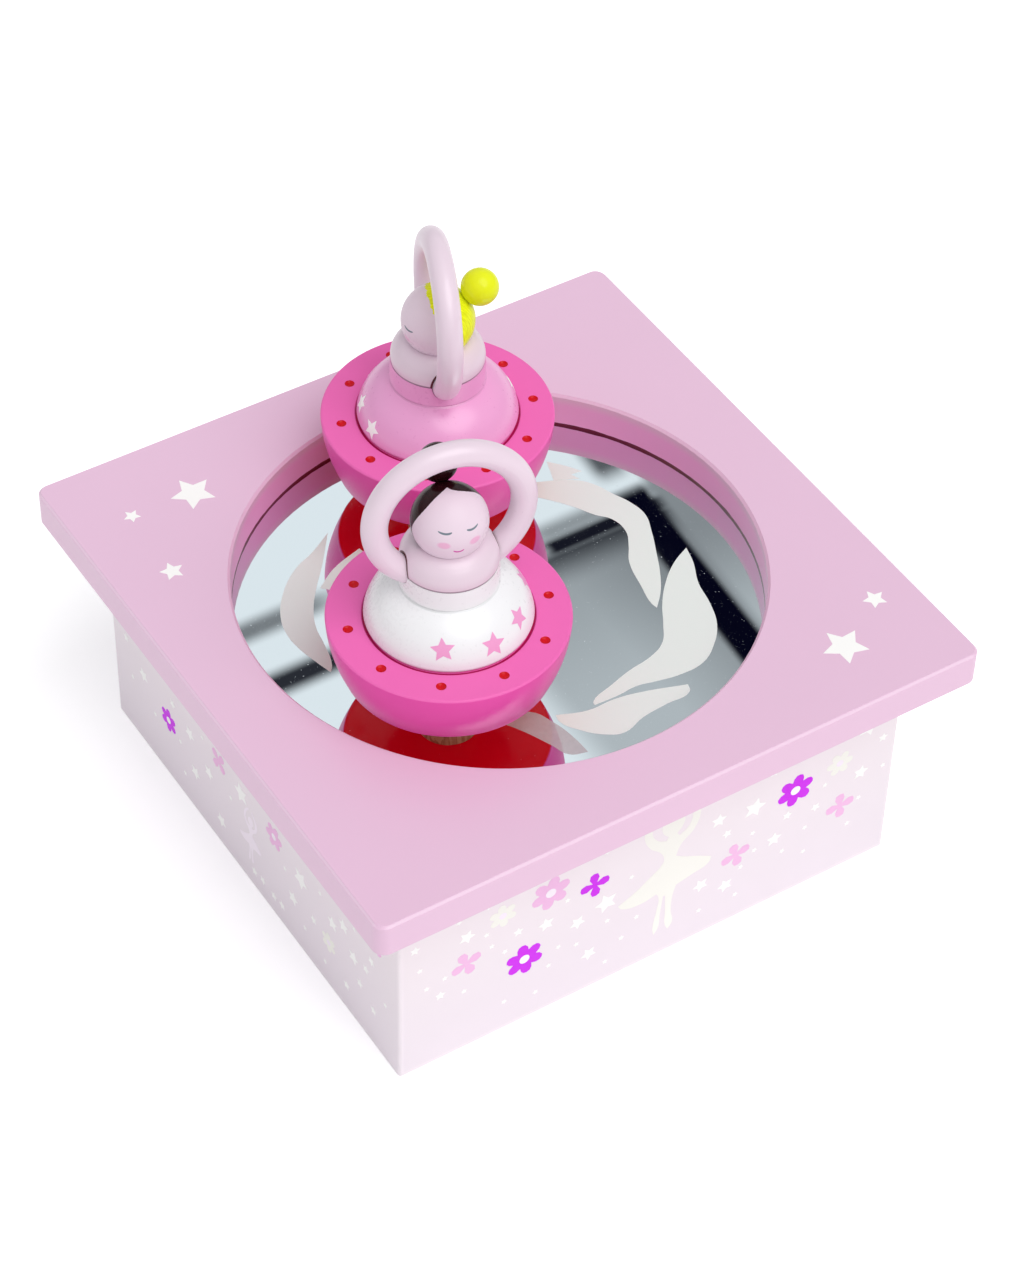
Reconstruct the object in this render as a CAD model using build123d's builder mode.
"""Wooden music box with two magnetic ballerinas that waltz over a round mirror.

Frame: +Z up, -Y is the printed front, the origin is the centre of the footprint on the table.
Millimetres throughout. Every piece is written to parts/NAME.step.
"""

import os
from math import cos, pi, radians, sin

from build123d import *

os.makedirs("parts", exist_ok=True)

# --- Driving dimensions: the case -------------------------------------------------------------
PLATE_SIZE = 155.0
PLATE_THICK = 9.2
PLATE_CORNER = 3.0
EDGE_EASE = 0.6
STAGE_R = 60.5  # round opening in the top plate

CASE_SIZE = 132.0
CASE_HEIGHT = 59.4
WALL = 6.0
CASE_EDGE = 0.8

MIRROR_SIZE = 126.0
MIRROR_THICK = 2.0
REBATE_SLACK = 0.2

BASE_UNDER = 12.0  # the base panel sits this high, so that the key has room below it
BASE_THICK = 5.0
SOUND_HOLE_R = 3.0
SOUND_HOLES = 8
BLOCK_LEG = 13.0

# --- Driving dimensions: the musical movement ---------------------------------------------------
BED_LIFT = 3.0
BED_THICK = 2.0
BED_LOW = (-15.0, -24.0)
BED_HIGH = (52.0, 19.5)
ARBOR_R = 2.0
RUN = 0.05  # radial running clearance

CROWN_TEETH = 54
CROWN_MODULE = 0.5
PINION_TEETH = 18
DRUM_GEAR_TEETH = 32
IDLER_TEETH = 12
TRAIN_MODULE = 0.4
WORM_WHEEL_TEETH = 24

BARREL_R = 12.0
BARREL_HEIGHT = 10.0
DRUM_R = 6.2
DRUM_LENGTH = 21.0
PIN_RISE = 0.4
COMB_TEETH = 18

# --- Driving dimensions: the dancers, heights above the mirror --------------------------------------
FOOT_R = 7.0
FOOT_TOP = 8.3
BOWL_R = 26.8
BOWL_TOP = 26.4
BOWL_HIP = (25.75, 18.8)  # the middle of the bowl's side
BOWL_EDGE = (23.4, 11.8)  # where the side turns under
SKIRT_R = 18.5
WAIST_R = 10.8
WAIST_LOW = 37.3
WAIST_TOP = 42.5
HEAD_R = 8.4
HEAD_Z = 53.8
BUN_R = 4.3
BUN_REACH = 12.4  # from the middle of the head to the middle of the bun
ARM_RING_R = 16.6
ARM_R = 2.9
ARM_RING_Z = 55.6
ARM_END_ANGLE = 35.3  # measured from straight down, where each arm enters the bodice
DIMPLES = 10  # drilled round the top of each bowl
DIMPLE_RING_R = 22.3
DIMPLE_BALL_R = 1.6
DIMPLE_DEPTH = 0.5

# Each dancer stands over one drive magnet: orbit radius, orbit angle, facing angle, the angle at which
# her bun rises behind her head, and the angle of her bowl's first dimple.
DANCERS = {
    "front": (33.1, 218.3, -103.0, 50.6, 18.4),
    "rear": (36.6, 81.0, 158.0, 41.0, 15.9),
}

# --- Derived levels --------------------------------------------------------------------------------
INSIDE = CASE_SIZE - 2 * WALL
MIRROR_TOP = CASE_HEIGHT
MIRROR_UNDER = MIRROR_TOP - MIRROR_THICK
BASE_TOP = BASE_UNDER + BASE_THICK
BED_UNDER = BASE_TOP + BED_LIFT
BED_TOP = BED_UNDER + BED_THICK


def save(part, label):
    """Labels a finished piece and writes it under its node name."""
    part.label = label
    export_step(part, f"parts/{label}.step")


def block(low, high, mode=Mode.ADD):
    """A box between two opposite corners, inside the running part."""
    size = [b - a for a, b in zip(low, high)]
    with Locations(tuple((a + b) / 2 for a, b in zip(low, high))):
        Box(*size, mode=mode)


def rod(x, y, low, high, radius, mode=Mode.ADD):
    """An upright cylinder between two heights, inside the running part."""
    with Locations((x, y, (low + high) / 2)):
        Cylinder(radius, high - low, mode=mode)


def cross_rod(y, z, low, high, radius, mode=Mode.ADD):
    """A cylinder along X between two places, inside the running part."""
    with Locations(((low + high) / 2, y, z)):
        Cylinder(radius, high - low, rotation=(0, 90, 0), mode=mode)


# ===== Case ========================================================================================
with BuildPart() as top_plate:
    with BuildSketch(Plane.XY.offset(CASE_HEIGHT)):
        RectangleRounded(PLATE_SIZE, PLATE_SIZE, PLATE_CORNER)
        Circle(STAGE_R, mode=Mode.SUBTRACT)
    extrude(amount=PLATE_THICK)
    chamfer(top_plate.faces().sort_by(Axis.Z)[-1].edges(), EDGE_EASE)
    chamfer(top_plate.faces().sort_by(Axis.Z)[0].outer_wire().edges(), EDGE_EASE)
save(top_plate.part, "top_plate")

half = CASE_SIZE / 2
inner = INSIDE / 2
rebate = MIRROR_SIZE + 2 * REBATE_SLACK

WALL_BOXES = {
    "front_wall": ((-half, -half), (half, -inner)),
    "back_wall": ((-half, inner), (half, half)),
    "left_wall": ((-half, -inner), (-inner, inner)),
    "right_wall": ((inner, -inner), (half, inner)),
}
for name, (low, high) in WALL_BOXES.items():
    with BuildPart() as wall:
        block((*low, 0), (*high, CASE_HEIGHT))
        if name in ("front_wall", "back_wall"):
            uprights = wall.edges().filter_by(Axis.Z)
            outer = uprights.filter_by(lambda e: abs(abs(e.center().Y) - half) < 0.01)
            fillet(outer, CASE_EDGE)
        with Locations((0, 0, CASE_HEIGHT - MIRROR_THICK / 2)):
            Box(rebate, rebate, MIRROR_THICK, mode=Mode.SUBTRACT)
    save(wall.part, name)

with BuildPart() as mirror:
    with BuildSketch(Plane.XY.offset(MIRROR_UNDER)):
        Rectangle(MIRROR_SIZE, MIRROR_SIZE)
    extrude(amount=MIRROR_THICK)
save(mirror.part, "mirror")

BASE_SCREW_AT = inner - 5.0
BASE_SCREW_R = 1.5
BASE_SCREW_HEAD_R = 3.0
BASE_SCREW_SINK = BASE_SCREW_HEAD_R - BASE_SCREW_R
BASE_SCREW_TOP = 30.0
KEY_HOLE_R = 5.0
BOSSES = ((-10.0, -18.0), (46.0, -18.0), (18.0, 14.0))
BOSS_R = 3.2
MOVEMENT_SCREW_R = 1.25
MOVEMENT_SCREW_TOP = BED_TOP - 0.6
corner_screws = [(sx * BASE_SCREW_AT, sy * BASE_SCREW_AT) for sx in (-1, 1) for sy in (-1, 1)]

with BuildPart() as base_panel:
    with BuildSketch(Plane.XY.offset(BASE_UNDER)):
        Rectangle(INSIDE, INSIDE)
        Circle(KEY_HOLE_R, mode=Mode.SUBTRACT)
        with Locations(*BOSSES):
            Circle(MOVEMENT_SCREW_R, mode=Mode.SUBTRACT)
        with PolarLocations(INSIDE * 0.36, SOUND_HOLES, start_angle=22.5):
            Circle(SOUND_HOLE_R, mode=Mode.SUBTRACT)
        with Locations(*corner_screws):
            Circle(BASE_SCREW_R, mode=Mode.SUBTRACT)
    extrude(amount=BASE_THICK)
    for x, y in corner_screws:
        with Locations((x, y, BASE_UNDER + BASE_SCREW_SINK / 2)):
            Cone(BASE_SCREW_HEAD_R, BASE_SCREW_R, BASE_SCREW_SINK, mode=Mode.SUBTRACT)
save(base_panel.part, "base_panel")

with BuildPart() as corner_blocks:
    for sx in (-1, 1):
        for sy in (-1, 1):
            corner = (sx * inner, sy * inner)
            with BuildSketch(Plane.XY.offset(BASE_TOP)):
                with BuildLine():
                    Polyline(
                        corner,
                        (corner[0] - sx * BLOCK_LEG, corner[1]),
                        (corner[0], corner[1] - sy * BLOCK_LEG),
                        close=True,
                    )
                make_face()
                with Locations((sx * BASE_SCREW_AT, sy * BASE_SCREW_AT)):
                    Circle(BASE_SCREW_R, mode=Mode.SUBTRACT)
            extrude(amount=MIRROR_UNDER - BASE_TOP - 0.4)
save(corner_blocks.part, "corner_blocks")

with BuildPart() as base_screws:
    for x, y in corner_screws:
        rod(x, y, BASE_UNDER + BASE_SCREW_SINK, BASE_SCREW_TOP, BASE_SCREW_R)
        with Locations((x, y, BASE_UNDER + BASE_SCREW_SINK / 2)):
            Cone(BASE_SCREW_HEAD_R, BASE_SCREW_R, BASE_SCREW_SINK)
        block((x - 4, y - 0.4, BASE_UNDER - 1), (x + 4, y + 0.4, BASE_UNDER + 0.8), Mode.SUBTRACT)
save(base_screws.part, "base_screws")

# ===== Musical movement ==============================================================================
# Gear heights and places. The spring barrel turns on the box's centre line; the cylinder lies along +X.
CROWN_R = CROWN_TEETH * CROWN_MODULE / 2
PINION_R = PINION_TEETH * CROWN_MODULE / 2
BARREL_UNDER = BED_TOP + 1.0
FLANGE_THICK = 1.0
CROWN_TOOTH = 1.0
CROWN_FACE = 1.8
DRUM_AXIS_Z = BARREL_UNDER + FLANGE_THICK + CROWN_TOOTH / 2 + PINION_R + 0.05
DRUM_GEAR_R = DRUM_GEAR_TEETH * TRAIN_MODULE / 2
IDLER_R = IDLER_TEETH * TRAIN_MODULE / 2
IDLER_Y = DRUM_GEAR_R + IDLER_R + 0.08
WHEEL_R = WORM_WHEEL_TEETH * TRAIN_MODULE / 2
WORM_R = 1.9
WORM_LEAD = pi * TRAIN_MODULE
WORM_X = 43.3
WORM_Y = IDLER_Y + WHEEL_R + WORM_R + 0.05

PINION_X = (12.8, 14.2)
LEFT_POST_X = (15.0, 16.4)
DRUM_X = (17.0, 17.0 + DRUM_LENGTH)
DRUM_GEAR_X = (38.8, 40.4)
RIGHT_POST_X = (41.6, 42.6)
IDLER_POST_X = (36.0, 37.2)
WHEEL_X = (WORM_X - 0.5, WORM_X + 0.5)
BRACKET_X = (46.1, 47.3)
DRUM_ARBOR_R = 1.0
IDLER_ARBOR_R = 0.8
WORM_ARBOR_R = 0.75
COMB_TIP_Y = -(DRUM_R + PIN_RISE + 0.12)
COMB_ROOT_Y = -16.0
COMB_BACK_Y = -22.5
COMB_X = (16.6, 38.4)
COMB_UNDER = DRUM_AXIS_Z - 0.4
COMB_THICK = 1.6
TINE_THICK = 0.8
COMB_SCREWS = ((21.0, -19.2), (34.0, -19.2))
COMB_SCREW_R = 1.2
BRACKET_SCREW = (50.0, 11.5)

with BuildPart() as bedplate:
    centre = tuple((a + b) / 2 for a, b in zip(BED_LOW, BED_HIGH))
    with BuildSketch(Plane.XY.offset(BED_UNDER)):
        with Locations(centre):
            RectangleRounded(BED_HIGH[0] - BED_LOW[0], BED_HIGH[1] - BED_LOW[1], 4)
        Circle(ARBOR_R + RUN, mode=Mode.SUBTRACT)
        with Locations((WORM_X, WORM_Y)):
            Circle(WORM_ARBOR_R + RUN, mode=Mode.SUBTRACT)
        with Locations(BRACKET_SCREW):
            Circle(1.0, mode=Mode.SUBTRACT)
    extrude(amount=BED_THICK)
    for x, y in BOSSES:
        rod(x, y, BASE_TOP, BED_UNDER, BOSS_R)
    # Bearing posts for the cylinder and the idler, and the riser that carries the comb.
    for low, high in (LEFT_POST_X, RIGHT_POST_X):
        block((low, -3, BED_TOP), (high, 3, DRUM_AXIS_Z + 2.6))
        cross_rod(0, DRUM_AXIS_Z, low, high, DRUM_ARBOR_R + RUN, Mode.SUBTRACT)
    block((IDLER_POST_X[0], IDLER_Y - 1.5, BED_TOP), (IDLER_POST_X[1], IDLER_Y + 1.5, DRUM_AXIS_Z + 2))
    cross_rod(IDLER_Y, DRUM_AXIS_Z, *IDLER_POST_X, IDLER_ARBOR_R + RUN, Mode.SUBTRACT)
    block((COMB_X[0], COMB_BACK_Y, BED_TOP), (COMB_X[1], COMB_ROOT_Y - 0.6, COMB_UNDER))
    for x, y in COMB_SCREWS:
        rod(x, y, BED_TOP + 1, COMB_UNDER, COMB_SCREW_R, Mode.SUBTRACT)
    for x, y in BOSSES:
        rod(x, y, BASE_TOP, MOVEMENT_SCREW_TOP, MOVEMENT_SCREW_R, Mode.SUBTRACT)
save(bedplate.part, "bedplate")

with BuildPart() as movement_screws:
    for x, y in BOSSES:
        rod(x, y, BASE_UNDER, MOVEMENT_SCREW_TOP, MOVEMENT_SCREW_R)
        rod(x, y, BASE_UNDER - 1.4, BASE_UNDER, 2.6)
        block((x - 1.8, y - 0.35, BASE_UNDER - 2), (x + 1.8, y + 0.35, BASE_UNDER - 0.7), Mode.SUBTRACT)
        block((x - 0.35, y - 1.8, BASE_UNDER - 2), (x + 0.35, y + 1.8, BASE_UNDER - 0.7), Mode.SUBTRACT)
save(movement_screws.part, "movement_screws")

comb_pitch = (COMB_X[1] - COMB_X[0]) / COMB_TEETH
with BuildPart() as comb:
    block((COMB_X[0], COMB_BACK_Y, COMB_UNDER), (COMB_X[1], COMB_ROOT_Y, COMB_UNDER + COMB_THICK))
    for i in range(COMB_TEETH):
        left = COMB_X[0] + i * comb_pitch + 0.17
        right = left + comb_pitch - 0.34
        block((left, COMB_ROOT_Y, COMB_UNDER), (right, COMB_TIP_Y, COMB_UNDER + TINE_THICK))
    for x, y in COMB_SCREWS:
        rod(x, y, COMB_UNDER, COMB_UNDER + COMB_THICK, COMB_SCREW_R, Mode.SUBTRACT)
save(comb.part, "comb")

with BuildPart() as comb_screws:
    head_low = COMB_UNDER + COMB_THICK
    for x, y in COMB_SCREWS:
        rod(x, y, BED_TOP + 1, head_low, COMB_SCREW_R)
        rod(x, y, head_low, head_low + 1.2, 2.2)
        block((x - 2.5, y - 0.3, head_low + 0.6), (x + 2.5, y + 0.3, head_low + 2), Mode.SUBTRACT)
save(comb_screws.part, "comb_screws")

BRACKET_ARM_Z = 35.0
with BuildPart() as governor_bracket:
    block((BRACKET_X[0], 5.0, BED_TOP), (BRACKET_X[1], 19.0, BRACKET_ARM_Z + 1.2))
    block((WORM_X - 3, WORM_Y - 2.6, BRACKET_ARM_Z), (BRACKET_X[1], 19.0, BRACKET_ARM_Z + 1.2))
    block((BRACKET_X[0], 7.0, BED_TOP), (51.8, 16.0, BED_TOP + 1.2))
    cross_rod(IDLER_Y, DRUM_AXIS_Z, *BRACKET_X, IDLER_ARBOR_R + RUN, Mode.SUBTRACT)
    rod(WORM_X, WORM_Y, BRACKET_ARM_Z, BRACKET_ARM_Z + 1.2, WORM_ARBOR_R + RUN, Mode.SUBTRACT)
    rod(*BRACKET_SCREW, BED_TOP, BED_TOP + 1.2, 1.0, Mode.SUBTRACT)
save(governor_bracket.part, "governor_bracket")

with BuildPart() as bracket_screw:
    rod(*BRACKET_SCREW, BED_UNDER + 0.3, BED_TOP + 1.2, 1.0)
    rod(*BRACKET_SCREW, BED_TOP + 1.2, BED_TOP + 2.2, 1.7)
    x, y = BRACKET_SCREW
    block((x - 2, y - 0.25, BED_TOP + 1.7), (x + 2, y + 0.25, BED_TOP + 3), Mode.SUBTRACT)
save(bracket_screw.part, "bracket_screw")

# One-way clutch: a wire coil that grips the arbor when it tries to run back.
CLUTCH_WIRE_R = 0.3
CLUTCH_COIL_R = 2.7
CLUTCH_PITCH = 0.8
CLUTCH_TURNS = 2.5
with BuildPart() as clutch_spring:
    with BuildLine():
        coil = Helix(CLUTCH_PITCH, CLUTCH_PITCH * CLUTCH_TURNS, CLUTCH_COIL_R, center=(0, 0, BASE_TOP + 0.5))
    with BuildSketch(Plane(origin=coil @ 0, z_dir=coil % 0)):
        Circle(CLUTCH_WIRE_R)
    sweep()
save(clutch_spring.part, "clutch_spring")

# --- Winding key and arbor -----------------------------------------------------------------------------
KEY_LOW = 1.6
KEY_HUB_TOP = 11.0
KEY_HUB_R = 3.6
KEY_THICK = 2.0
KEY_REACH = 11.0
KEY_WING_R = 4.2
ARBOR_TOP = 37.0

with BuildPart() as winding_key:
    rod(0, 0, KEY_LOW + 1.5, KEY_HUB_TOP, KEY_HUB_R)
    with BuildSketch(Plane.XZ.offset(-KEY_THICK / 2)):
        wing_x = KEY_REACH - KEY_WING_R
        for side in (-1, 1):
            with Locations((side * wing_x, KEY_LOW + KEY_WING_R)):
                Circle(KEY_WING_R)
        with Locations((0, KEY_LOW + KEY_WING_R)):
            Rectangle(2 * wing_x, 5.4)
        for side in (-1, 1):
            with Locations((side * wing_x, KEY_LOW + KEY_WING_R)):
                Circle(1.9, mode=Mode.SUBTRACT)
    extrude(amount=KEY_THICK)
    rod(0, 0, 5.0, KEY_HUB_TOP, ARBOR_R, Mode.SUBTRACT)
save(winding_key.part, "winding_key")

with BuildPart() as winding_arbor:
    rod(0, 0, 5.0, ARBOR_TOP, ARBOR_R)
    chamfer(winding_arbor.edges().filter_by(GeomType.CIRCLE), 0.3)
save(winding_arbor.part, "winding_arbor")

# --- Spring barrel, its spring and the magnet carrier ------------------------------------------------------
BARREL_TOP = BARREL_UNDER + BARREL_HEIGHT
COVER_THICK = 1.0
flange_top = BARREL_UNDER + FLANGE_THICK

with BuildPart() as spring_barrel:
    with BuildSketch(Plane.XY.offset(BARREL_UNDER)):
        Circle(CROWN_R + CROWN_FACE / 2)
        Circle(ARBOR_R + RUN, mode=Mode.SUBTRACT)
    extrude(amount=FLANGE_THICK)
    with BuildSketch(Plane.XY.offset(flange_top)):
        Circle(BARREL_R)
        Circle(BARREL_R - 0.8, mode=Mode.SUBTRACT)
    extrude(amount=BARREL_HEIGHT - FLANGE_THICK)
    # Crown teeth stand up from the flange; the angle step puts a gap under the pinion's lowest tooth.
    step = 360 / CROWN_TEETH
    with BuildSketch(Plane.XY.offset(flange_top)):
        with PolarLocations(CROWN_R, CROWN_TEETH, start_angle=step / 2):
            Rectangle(CROWN_FACE, 0.58)
    extrude(amount=CROWN_TOOTH)
    rod(0, 0, BARREL_TOP - COVER_THICK, BARREL_TOP, BARREL_R - 0.4, Mode.SUBTRACT)
save(spring_barrel.part, "spring_barrel")

with BuildPart() as barrel_cover:
    with BuildSketch(Plane.XY.offset(BARREL_TOP - COVER_THICK)):
        Circle(BARREL_R - 0.4)
        Circle(ARBOR_R + RUN, mode=Mode.SUBTRACT)
    extrude(amount=COVER_THICK)
save(barrel_cover.part, "barrel_cover")

# The mainspring is a two-centre spiral of half rings, each half a turn wider than the last.
SPRING_STRIP = 0.3
SPRING_GROWTH = 0.75
SPRING_INNER_R = 3.2
SPRING_HALF_TURNS = 20
with BuildPart() as mainspring:
    with BuildSketch(Plane.XY.offset(flange_top + 0.3)):
        with BuildLine():
            middle = SPRING_GROWTH / 4
            sides = ([], [])
            for i in range(SPRING_HALF_TURNS):
                radius = SPRING_INNER_R + i * SPRING_GROWTH / 2
                cx = middle if i % 2 else -middle
                start = 180 if i % 2 else 0
                for edge, shift in zip(sides, (-SPRING_STRIP / 2, SPRING_STRIP / 2)):
                    edge.append(CenterArc((cx, 0), radius + shift, start, 180))
            Line(sides[0][0] @ 0, sides[1][0] @ 0)
            Line(sides[0][-1] @ 1, sides[1][-1] @ 1)
        make_face()
    extrude(amount=BARREL_HEIGHT - FLANGE_THICK - COVER_THICK - 0.6)
save(mainspring.part, "mainspring")

TUBE_R = 3.6
TUBE_FLANGE_R = 8.0
CARRIER_LOW = 49.5
CARRIER_THICK = 5.5
CARRIER_HALF_WIDTH = 9.0
DRIVE_MAGNET_R = 6.0
DRIVE_MAGNET_THICK = 5.0
DRIVE_MAGNET_TOP = MIRROR_UNDER - 1.0
CARRIER_SCREW_R = 1.5
CARRIER_SCREW_LOW = 41.0

with BuildPart() as drive_tube:
    rod(0, 0, BARREL_TOP, BARREL_TOP + 1.5, TUBE_FLANGE_R)
    rod(0, 0, BARREL_TOP, CARRIER_LOW, TUBE_R)
    rod(0, 0, BARREL_TOP, ARBOR_TOP + 0.8, ARBOR_R + RUN, Mode.SUBTRACT)
    rod(0, 0, CARRIER_SCREW_LOW, CARRIER_LOW, CARRIER_SCREW_R, Mode.SUBTRACT)
save(drive_tube.part, "drive_tube")

seats = [(r * cos(radians(a)), r * sin(radians(a))) for r, a, *_ in DANCERS.values()]
with BuildPart() as magnet_carrier:
    with BuildSketch(Plane.XY.offset(CARRIER_LOW)):
        Circle(CARRIER_HALF_WIDTH + 2)
        for orbit, angle, *_ in DANCERS.values():
            direction = Vector(cos(radians(angle)), sin(radians(angle)))
            with Locations(Location(direction * orbit / 2, (0, 0, angle))):
                SlotCenterToCenter(orbit, 2 * CARRIER_HALF_WIDTH)
        Circle(CARRIER_SCREW_R, mode=Mode.SUBTRACT)
    extrude(amount=CARRIER_THICK)
    for x, y in seats:
        magnet_under = DRIVE_MAGNET_TOP - DRIVE_MAGNET_THICK
        rod(x, y, magnet_under, CARRIER_LOW + CARRIER_THICK, DRIVE_MAGNET_R, Mode.SUBTRACT)
    rod(0, 0, CARRIER_LOW + 3, CARRIER_LOW + CARRIER_THICK, 3.4, Mode.SUBTRACT)
save(magnet_carrier.part, "magnet_carrier")

with BuildPart() as carrier_screw:
    rod(0, 0, CARRIER_SCREW_LOW, CARRIER_LOW + 3, CARRIER_SCREW_R)
    rod(0, 0, CARRIER_LOW + 3, CARRIER_LOW + 4.8, 3.0)
    block((-1.9, -0.35, CARRIER_LOW + 4), (1.9, 0.35, CARRIER_LOW + 5), Mode.SUBTRACT)
    block((-0.35, -1.9, CARRIER_LOW + 4), (0.35, 1.9, CARRIER_LOW + 5), Mode.SUBTRACT)
save(carrier_screw.part, "carrier_screw")

with BuildPart() as drive_magnets:
    for x, y in seats:
        rod(x, y, DRIVE_MAGNET_TOP - DRIVE_MAGNET_THICK, DRIVE_MAGNET_TOP, DRIVE_MAGNET_R)
save(drive_magnets.part, "drive_magnets")


# --- Cylinder, train and governor ------------------------------------------------------------------------
def spur_gear(teeth, module, x_range, y, z, bore, first=0.0, slim=0.40):
    """A straight-toothed wheel on an arbor along X. First is the angle of its first tooth from +Y."""
    pitch_r = teeth * module / 2
    root = pitch_r - 1.05 * module
    tip = pitch_r + 0.85 * module
    pitch = pi * module
    with BuildPart() as gear:
        face = Plane(origin=(x_range[0], y, z), x_dir=(0, 1, 0), z_dir=(1, 0, 0))
        with BuildSketch(face):
            Circle(root)
            with PolarLocations(0, teeth, start_angle=first):
                flank = slim * pitch / 2
                slope = 0.32 * module
                Polygon(
                    (root - 0.15, -flank - slope),
                    (pitch_r, -flank),
                    (tip, -flank + slope),
                    (tip, flank - slope),
                    (pitch_r, flank),
                    (root - 0.15, flank + slope),
                    align=None,
                )
            Circle(bore, mode=Mode.SUBTRACT)
        extrude(amount=x_range[1] - x_range[0])
    return gear.part


# The pinion's tooth points straight down into a crown gap, and the two spur wheels mesh along +Y.
save(
    spur_gear(PINION_TEETH, CROWN_MODULE, PINION_X, 0, DRUM_AXIS_Z, DRUM_ARBOR_R, first=-90, slim=0.36),
    "cylinder_pinion",
)
save(spur_gear(DRUM_GEAR_TEETH, TRAIN_MODULE, DRUM_GEAR_X, 0, DRUM_AXIS_Z, DRUM_ARBOR_R), "cylinder_gear")
idler_half_tooth = 180 / IDLER_TEETH
save(
    spur_gear(
        IDLER_TEETH,
        TRAIN_MODULE,
        DRUM_GEAR_X,
        IDLER_Y,
        DRUM_AXIS_Z,
        IDLER_ARBOR_R,
        first=180 + idler_half_tooth,
    ),
    "idler_pinion",
)
save(
    spur_gear(WORM_WHEEL_TEETH, TRAIN_MODULE, WHEEL_X, IDLER_Y, DRUM_AXIS_Z, IDLER_ARBOR_R, slim=0.34),
    "worm_wheel",
)

with BuildPart() as music_cylinder:
    cross_rod(0, DRUM_AXIS_Z, *DRUM_X, DRUM_R)
    cross_rod(0, DRUM_AXIS_Z, DRUM_X[0] + 1.2, DRUM_X[1] - 1.2, DRUM_R - 0.9, Mode.SUBTRACT)
    # Each comb tooth has its own track of pins, set by the golden angle so that no two notes line up.
    pins = []
    for track in range(COMB_TEETH):
        x = COMB_X[0] + (track + 0.5) * comb_pitch
        for note in range(4):
            angle = radians(137.5 * track + 90 * note + 23 * (track * note % 3))
            out = Vector(0, cos(angle), sin(angle))
            root = Vector(x, 0, DRUM_AXIS_Z) + out * (DRUM_R - 0.3)
            if DRUM_X[0] + 0.3 < x < DRUM_X[1] - 0.3:
                pins.append(Location(Plane(origin=root, z_dir=out)))
    with Locations(*pins):
        Cylinder(0.18, PIN_RISE + 0.3, align=(Align.CENTER, Align.CENTER, Align.MIN))
    cross_rod(0, DRUM_AXIS_Z, *DRUM_X, DRUM_ARBOR_R, Mode.SUBTRACT)
save(music_cylinder.part, "music_cylinder")

with BuildPart() as cylinder_arbor:
    cross_rod(0, DRUM_AXIS_Z, PINION_X[0] - 0.2, RIGHT_POST_X[1] + 0.6, DRUM_ARBOR_R)
save(cylinder_arbor.part, "cylinder_arbor")

with BuildPart() as idler_arbor:
    cross_rod(IDLER_Y, DRUM_AXIS_Z, IDLER_POST_X[0] - 0.5, BRACKET_X[1] + 0.5, IDLER_ARBOR_R)
save(idler_arbor.part, "idler_arbor")

WORM_THREAD_Z = (25.4, 33.2)
WORM_TIP_R = WORM_R + 0.34
WORM_ROOT_R = WORM_R - 0.42
with BuildPart() as governor_worm:
    rod(WORM_X, WORM_Y, *WORM_THREAD_Z, WORM_ROOT_R)
    rod(WORM_X, WORM_Y, BED_UNDER + 0.4, 41.0, WORM_ARBOR_R)
    # On the side that faces the wheel, the thread passes half a tooth above and below its axis.
    turns = 4
    thread_low = DRUM_AXIS_Z - (turns / 2 + 0.25) * WORM_LEAD
    with BuildLine():
        thread = Helix(WORM_LEAD, turns * WORM_LEAD, WORM_ROOT_R, center=(WORM_X, WORM_Y, thread_low))
    with BuildSketch(Plane(origin=thread @ 0, x_dir=(1, 0, 0), z_dir=(0, 1, 0))):
        with BuildLine():
            crest = WORM_TIP_R - WORM_ROOT_R
            Polyline((-0.15, -0.28), (crest, -0.13), (crest, 0.13), (-0.15, 0.28), close=True)
        make_face()
    sweep(path=thread, is_frenet=True)
save(governor_worm.part, "governor_worm")

FAN_LOW = 37.0
FAN_HIGH = 41.0
with BuildPart() as governor_fan:
    rod(WORM_X, WORM_Y, FAN_LOW, FAN_HIGH, 1.5)
    block((WORM_X - 5.6, WORM_Y - 0.25, FAN_LOW), (WORM_X + 5.6, WORM_Y + 0.25, FAN_HIGH))
    rod(WORM_X, WORM_Y, FAN_LOW, FAN_HIGH, WORM_ARBOR_R, Mode.SUBTRACT)
save(governor_fan.part, "governor_fan")

# ===== Dancers =========================================================================================
PAD_GAP = 0.05
PAD_TOP = 0.6
FOOT_MAGNET_R = 5.0
FOOT_MAGNET_TOP = 4.6
PIVOT_R = 1.5
PIVOT_TOP = 15.0
TURN_GAP = 0.15
PEG_R = 1.6
PEG_LOW = 17.0
PEG_TOP = 52.0
ARM_SOCKET_GAP = 0.15


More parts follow.
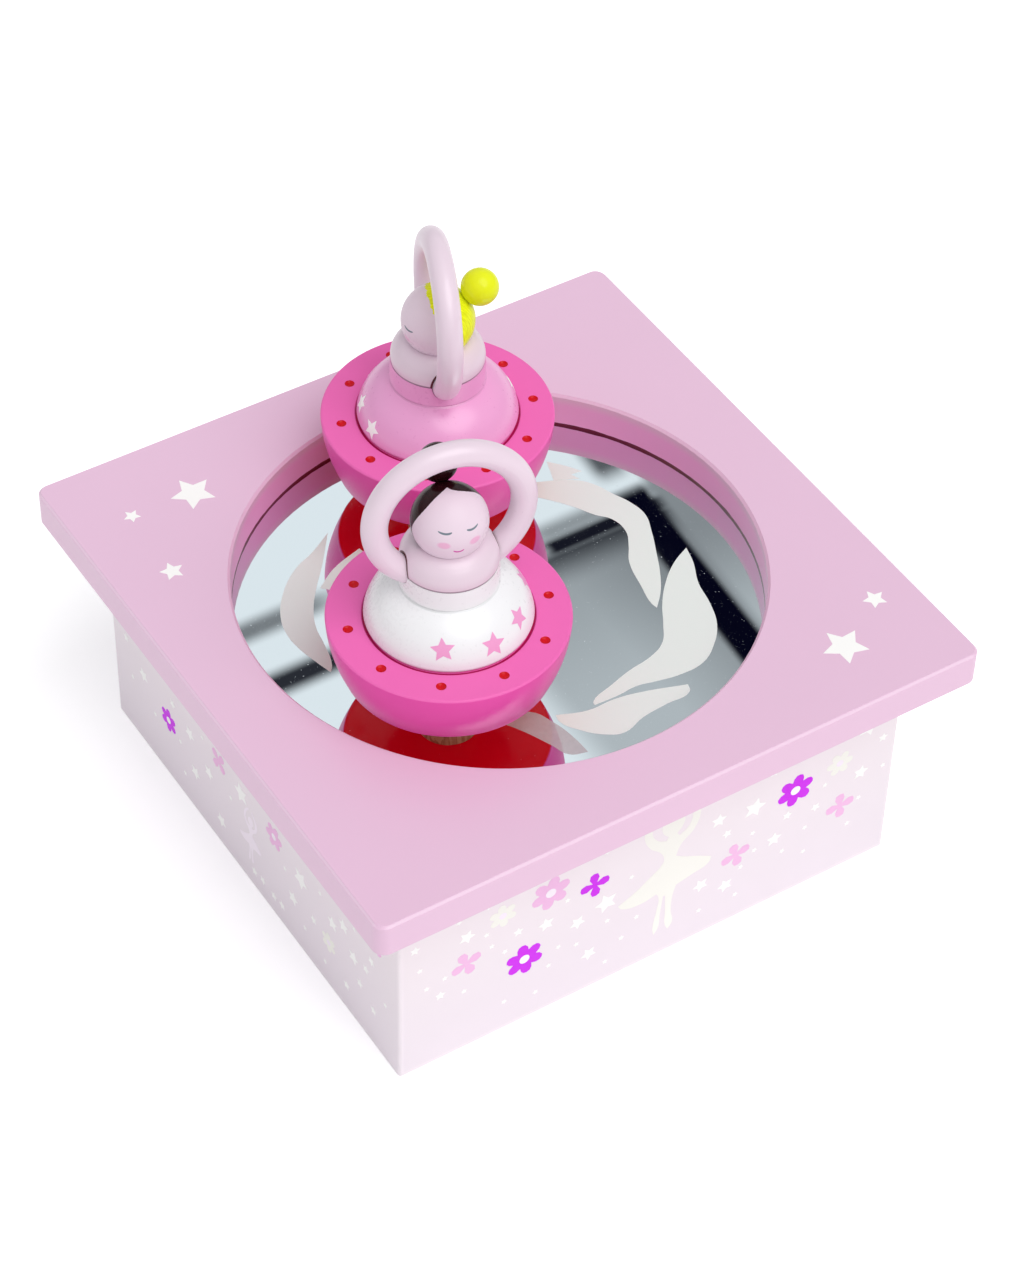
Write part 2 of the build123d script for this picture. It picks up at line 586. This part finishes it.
def dancer(who, orbit, orbit_angle, facing, bun_angle, first_dimple):
    """All the pieces of one dancer, standing on the mirror over her drive magnet."""
    x = orbit * cos(radians(orbit_angle))
    y = orbit * sin(radians(orbit_angle))
    ahead = Vector(cos(radians(facing)), sin(radians(facing)), 0)
    side = Vector(-ahead.Y, ahead.X, 0)
    up = Vector(0, 0, 1)
    stand = Vector(x, y, MIRROR_TOP)
    profile_plane = Plane(origin=stand, x_dir=ahead, z_dir=-side)
    spin_axis = Axis(stand, (0, 0, 1))

    def post(low, high, radius, mode=Mode.ADD):
        rod(x, y, MIRROR_TOP + low, MIRROR_TOP + high, radius, mode)

    def arm_ring(radius, end_angle, mode):
        """The raised arms: a round bar bent in a circle about the facing axis, open at the bodice."""
        start = radians(end_angle)
        centre = stand + up * ARM_RING_Z
        end = centre + (side * sin(start) - up * cos(start)) * ARM_RING_R
        tangent = side * cos(start) + up * sin(start)
        with BuildSketch(Plane(origin=end, x_dir=ahead, z_dir=tangent)) as section:
            Circle(radius)
        hoop = Axis(centre, ahead)
        revolve(section.sketch, axis=hoop, revolution_arc=360 - 2 * end_angle, mode=mode)

    def head_ball(radius, mode):
        with Locations(stand + up * HEAD_Z):
            Sphere(radius, mode=mode)

    with BuildPart() as foot:
        post(PAD_TOP, FOOT_TOP, FOOT_R)
        chamfer(foot.edges().sort_by(Axis.Z)[0], 0.5)
        post(PAD_TOP, FOOT_MAGNET_TOP, FOOT_MAGNET_R, Mode.SUBTRACT)
        post(FOOT_MAGNET_TOP + 0.8, FOOT_TOP, PIVOT_R, Mode.SUBTRACT)
    save(foot.part, f"{who}_foot")

    with BuildPart() as foot_magnet:
        post(PAD_TOP, FOOT_MAGNET_TOP, FOOT_MAGNET_R)
    save(foot_magnet.part, f"{who}_foot_magnet")

    with BuildPart() as foot_pad:
        post(PAD_GAP, PAD_TOP, FOOT_R - 0.5)
    save(foot_pad.part, f"{who}_foot_pad")

    with BuildPart() as pivot_pin:
        post(FOOT_MAGNET_TOP + 0.8, PIVOT_TOP, PIVOT_R)
    save(pivot_pin.part, f"{who}_pivot_pin")

    with BuildPart() as bowl:
        low = FOOT_TOP + TURN_GAP
        with BuildSketch(profile_plane):
            with BuildLine():
                edge_r, edge_z = BOWL_EDGE
                under = (FOOT_R + 0.4, low)
                turn_low = (edge_r - 0.7, edge_z - 0.15)
                turn_high = (edge_r + 0.2, edge_z + 0.8)
                rim_low = (BOWL_R, BOWL_TOP - 0.5)
                rim_high = (BOWL_R - 0.5, BOWL_TOP)
                Line((0, low), under)
                ThreePointArc(under, (16.5, low + 1.1), turn_low)
                ThreePointArc(turn_low, (edge_r - 0.12, edge_z + 0.1), turn_high)
                ThreePointArc(turn_high, BOWL_HIP, rim_low)
                ThreePointArc(rim_low, (BOWL_R - 0.15, BOWL_TOP - 0.15), rim_high)
                Line(rim_high, (SKIRT_R + 0.5, BOWL_TOP))
                # A narrow groove sets the skirt off from the bowl.
                Line((SKIRT_R + 0.5, BOWL_TOP), (SKIRT_R + 0.2, BOWL_TOP - 0.4))
                Line((SKIRT_R + 0.2, BOWL_TOP - 0.4), (SKIRT_R - 0.4, BOWL_TOP - 0.4))
                Line((SKIRT_R - 0.4, BOWL_TOP - 0.4), (SKIRT_R - 0.6, BOWL_TOP))
                Line((SKIRT_R - 0.6, BOWL_TOP), (0, BOWL_TOP))
                Line((0, BOWL_TOP), (0, low))
            make_face()
        revolve(axis=spin_axis)
        post(low, PIVOT_TOP + 0.3, PIVOT_R + RUN, Mode.SUBTRACT)
        post(PEG_LOW, BOWL_TOP, PEG_R, Mode.SUBTRACT)
        with Locations(stand + up * (BOWL_TOP + DIMPLE_BALL_R - DIMPLE_DEPTH)):
            with PolarLocations(DIMPLE_RING_R, DIMPLES, start_angle=first_dimple):
                Sphere(DIMPLE_BALL_R, mode=Mode.SUBTRACT)
    save(bowl.part, f"{who}_bowl")

    with BuildPart() as skirt:
        with BuildSketch(profile_plane):
            with BuildLine():
                hem = (SKIRT_R, BOWL_TOP + 0.9)
                crease = (WAIST_R + 0.3, WAIST_LOW - 0.5)
                Line((0, BOWL_TOP), (SKIRT_R - 0.5, BOWL_TOP))
                ThreePointArc((SKIRT_R - 0.5, BOWL_TOP), (SKIRT_R - 0.12, BOWL_TOP + 0.35), hem)
                ThreePointArc(hem, (SKIRT_R - 2.0, WAIST_LOW - 5.0), crease)
                Line(crease, (WAIST_R - 0.1, WAIST_LOW - 0.1))
                Line((WAIST_R - 0.1, WAIST_LOW - 0.1), (WAIST_R + 0.25, WAIST_LOW + 0.4))
                Line((WAIST_R + 0.25, WAIST_LOW + 0.4), (WAIST_R, WAIST_TOP))
                Line((WAIST_R, WAIST_TOP), (0, WAIST_TOP))
                Line((0, WAIST_TOP), (0, BOWL_TOP))
            make_face()
        revolve(axis=spin_axis)
        post(BOWL_TOP, WAIST_TOP, PEG_R, Mode.SUBTRACT)
        arm_ring(ARM_R + ARM_SOCKET_GAP, ARM_END_ANGLE - 0.6, Mode.SUBTRACT)
    save(skirt.part, f"{who}_skirt")

    with BuildPart() as bodice:
        with BuildSketch(profile_plane):
            with BuildLine():
                shoulder = (WAIST_R - 1.6, WAIST_TOP + 4.9)
                Line((0, WAIST_TOP), (WAIST_R - 0.15, WAIST_TOP))
                ThreePointArc((WAIST_R - 0.15, WAIST_TOP), (WAIST_R - 0.35, WAIST_TOP + 3), shoulder)
                ThreePointArc(shoulder, (WAIST_R - 3, WAIST_TOP + 6), (5.6, WAIST_TOP + 6.4))
                Line((5.6, WAIST_TOP + 6.4), (0, WAIST_TOP + 6.4))
                Line((0, WAIST_TOP + 6.4), (0, WAIST_TOP))
            make_face()
        revolve(axis=spin_axis)
        head_ball(HEAD_R, Mode.SUBTRACT)
        post(WAIST_TOP, WAIST_TOP + 7, PEG_R, Mode.SUBTRACT)
        arm_ring(ARM_R + ARM_SOCKET_GAP, ARM_END_ANGLE - 0.6, Mode.SUBTRACT)
    save(bodice.part, f"{who}_bodice")

    with BuildPart() as arms:
        arm_ring(ARM_R, ARM_END_ANGLE, Mode.ADD)
    save(arms.part, f"{who}_arms")

    with BuildPart() as head:
        head_ball(HEAD_R, Mode.ADD)
        post(HEAD_Z - HEAD_R - 1, PEG_TOP, PEG_R, Mode.SUBTRACT)
    save(head.part, f"{who}_head")

    with BuildPart() as bun:
        rise = radians(bun_angle)
        reach = ahead * -cos(rise) + up * sin(rise)
        with Locations(stand + up * HEAD_Z + reach * BUN_REACH):
            Sphere(BUN_R)
        head_ball(HEAD_R, Mode.SUBTRACT)
    save(bun.part, f"{who}_bun")

    with BuildPart() as peg:
        post(PEG_LOW, PEG_TOP, PEG_R)
    save(peg.part, f"{who}_peg")


for who, placing in DANCERS.items():
    dancer(who, *placing)
